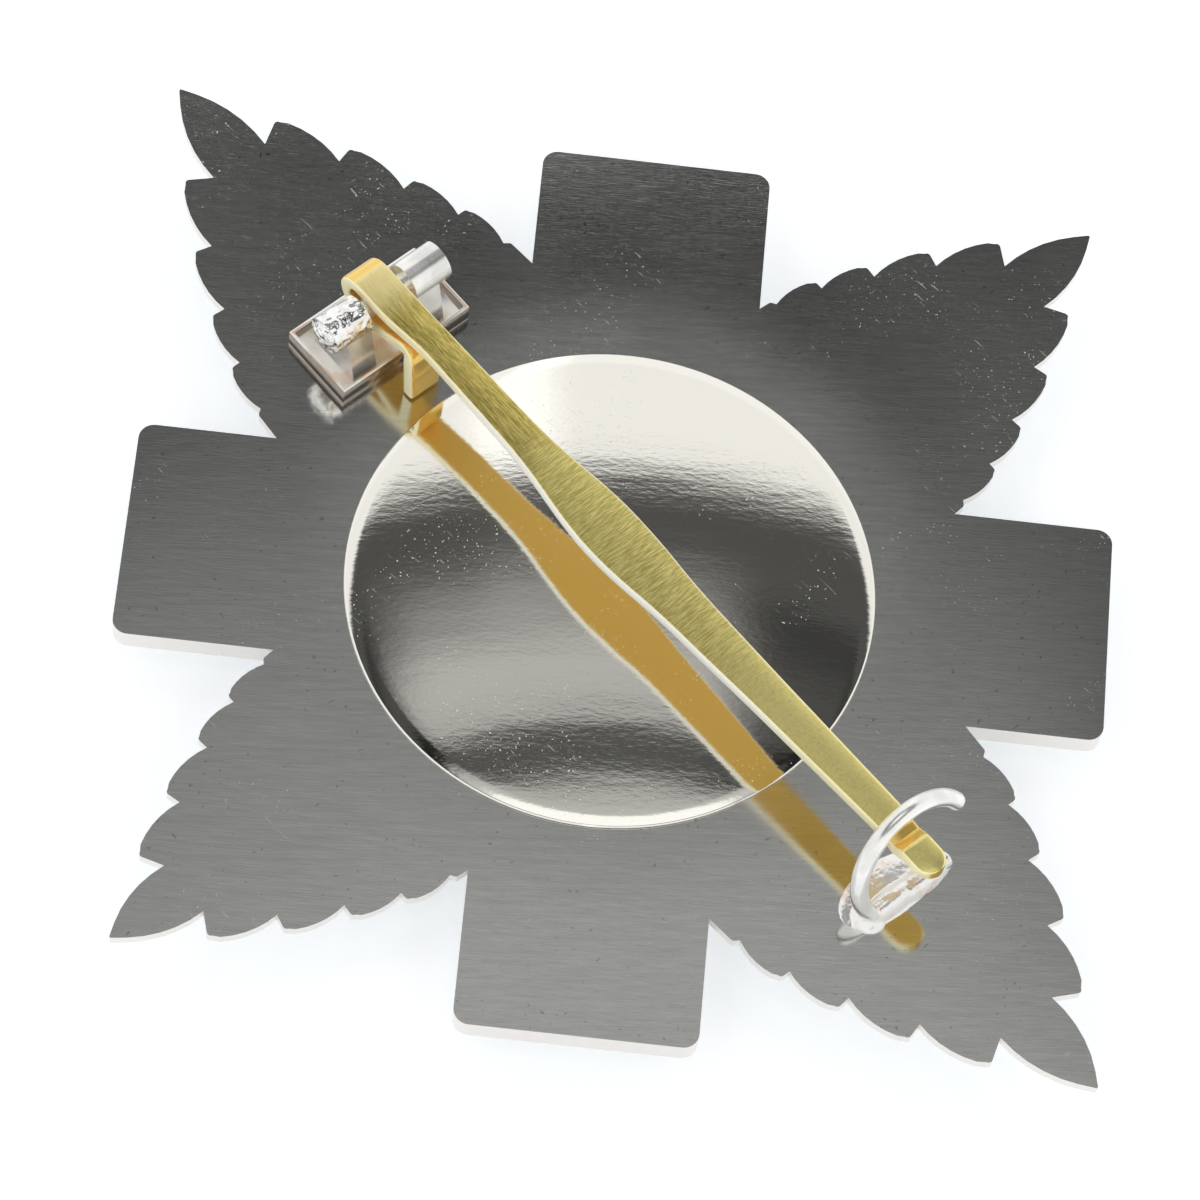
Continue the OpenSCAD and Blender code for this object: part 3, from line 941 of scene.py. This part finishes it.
def pin_strip():
    """The pin, drawn along its middle line from the tail's foot to the free end."""
    path = pin_path()
    dense = [path[0]]
    for a, b in zip(path, path[1:]):
        parts = max(1, round((b - a).length / 0.8))
        dense += [a + (b - a) * i / parts for i in range(1, parts + 1)]
    # The free end is round: its last rings close in
    end_r = PIN_PLAN[-1][1] * pin_belly_w / 2
    dense = [p for p in dense if p.x >= -pin_end + end_r]
    strip_z = pin_top_h - pin_t / 2
    for k in range(9):
        dense.append(Vector((-pin_end + end_r * (1 - math.sin(math.radians(10 * k + 2))), strip_z)))
    turn_i = max(range(len(dense)), key=lambda i: dense[i].x)
    rings = []
    for i, point in enumerate(dense):
        tangent = (dense[min(i + 1, len(dense) - 1)] - dense[max(i - 1, 0)]).normalized()
        normal = Vector((tangent.y, -tangent.x))
        travelled = 0.5 * i / turn_i if i < turn_i else 1
        middle, width = strip_width(point.x, travelled)
        thick = (tail_t if i < turn_i else pin_t) / 2
        ring = []
        for across, up in rolled_section(width / 2, thick):
            yz = point + normal * up
            ring.append(Vector((middle + across, yz.x, yz.y)))
        rings.append(ring)
    piece = drawn("pin_strip", rings)
    settle(piece, "pin", gilt(), ["pin"])


# Stage

# The sky's own up and sideways directions: its bands lie level with the photograph's frame
sky_up, sky_side = (0.055, -0.053, 0.997), (0.763, -0.643, -0.076)
# Elevation as a share of 90 degrees, and how bright the room is there
SKY_BANDS = [
    (0.00, 1.0), (0.50, 1.0), (0.55, 0.92), (0.617, 0.95), (0.634, 0.05), (0.670, 0.08),
    (0.689, 0.20), (0.712, 0.31), (0.735, 0.50), (0.768, 0.44), (0.778, 0.05),
    (0.797, 0.06), (0.811, 0.45), (0.855, 0.57), (0.866, 1.1), (1.00, 1.1),
]
sky_full = 1.2


def sky():
    """Soft studio light: bright all round, with a darker grey overhead that the plate mirrors."""
    world = bpy.context.scene.world or bpy.data.worlds.new("studio")
    bpy.context.scene.world = world
    world.use_nodes = True
    s = NodeBench(world.node_tree)
    way = s.node("ShaderNodeTexCoord", out=0)
    height = s.node(
        "ShaderNodeVectorMath", {"operation": "DOT_PRODUCT"}, {0: way, 1: sky_up}, out=1)
    angle = s.node("ShaderNodeMath", {"operation": "ARCSINE"}, {0: height}) / math.radians(90)
    grey = s.node(
        "ShaderNodeValToRGB",
        {"stops": [(at, (v / sky_full, v / sky_full, v / sky_full)) for at, v in SKY_BANDS]},
        {0: angle},
    )
    sideways = s.node(
        "ShaderNodeVectorMath", {"operation": "DOT_PRODUCT"}, {0: way, 1: sky_side}, out=1)
    leftward = -1 * sideways
    # The bright stretch ends at a dark screen on either side
    aside = sideways.over(0.06, 0.13) + leftward.over(0.14, 0.20)
    dim = 1 - 0.85 * aside * angle.over(0.66, 0.70) * (1 - angle.over(0.80, 0.83))
    # A little more light comes from low on the left
    glow = leftward.over(0.02, 0.05) * (1 - leftward.over(0.08, 0.11))
    dim = dim + 0.3 * glow * (1 - angle.over(0.69, 0.72))
    light = s.node("ShaderNodeBackground", {}, {"Color": grey, "Strength": sky_full * dim})
    s.node("ShaderNodeOutputWorld", {}, {"Surface": light})


def floor():
    """A pale surface under the star."""
    bpy.ops.mesh.primitive_plane_add(size=1.6, location=(0, 0, 0))
    ground = bpy.context.object
    ground.name = "floor"
    f = Finish("pale_paper")
    shader = f.node("ShaderNodeBsdfPrincipled", {}, {
        "Base Color": rgb(0.9, 0.9, 0.9), "Roughness": 0.9,
        "Emission Color": rgb(0.9, 0.95, 1.0), "Emission Strength": 0.43})
    f.node("ShaderNodeOutputMaterial", {}, {"Surface": shader})
    ground.data.materials.append(f.material)


def camera():
    """The photograph's view: from the left and the front, high up, with a small roll."""
    aim = Vector((-1.76, -0.32, back_z)) * MM
    azimuth, elevation, roll = math.radians(-48.53), math.radians(62.44), math.radians(9.46)
    distance = 338.7 * MM
    away = Vector((
        math.sin(azimuth) * math.cos(elevation),
        -math.cos(azimuth) * math.cos(elevation),
        math.sin(elevation),
    ))
    level = Vector((0, 0, 1)).cross(away).normalized()
    upright = away.cross(level)
    right = level * math.cos(roll) + upright * math.sin(roll)
    up = away.cross(right)
    eye = bpy.data.objects.new("camera", bpy.data.cameras.new("camera"))
    bpy.context.collection.objects.link(eye)
    eye.matrix_world = Matrix((
        (right.x, up.x, away.x, 0), (right.y, up.y, away.y, 0), (right.z, up.z, away.z, 0),
        (0, 0, 0, 1),
    ))
    eye.location = aim + away * distance
    eye.data.sensor_width = 36
    eye.data.lens = 162.4
    eye.data.clip_start, eye.data.clip_end = 0.01, 10
    bpy.context.scene.camera = eye


camera()
floor()
sky()
plate()
front_boss()
centre_disc()
tray()
cheeks()
rivet()
catch_wire()
solder_pad()
pin_strip()
bpy.context.scene.view_settings.view_transform = "Standard"
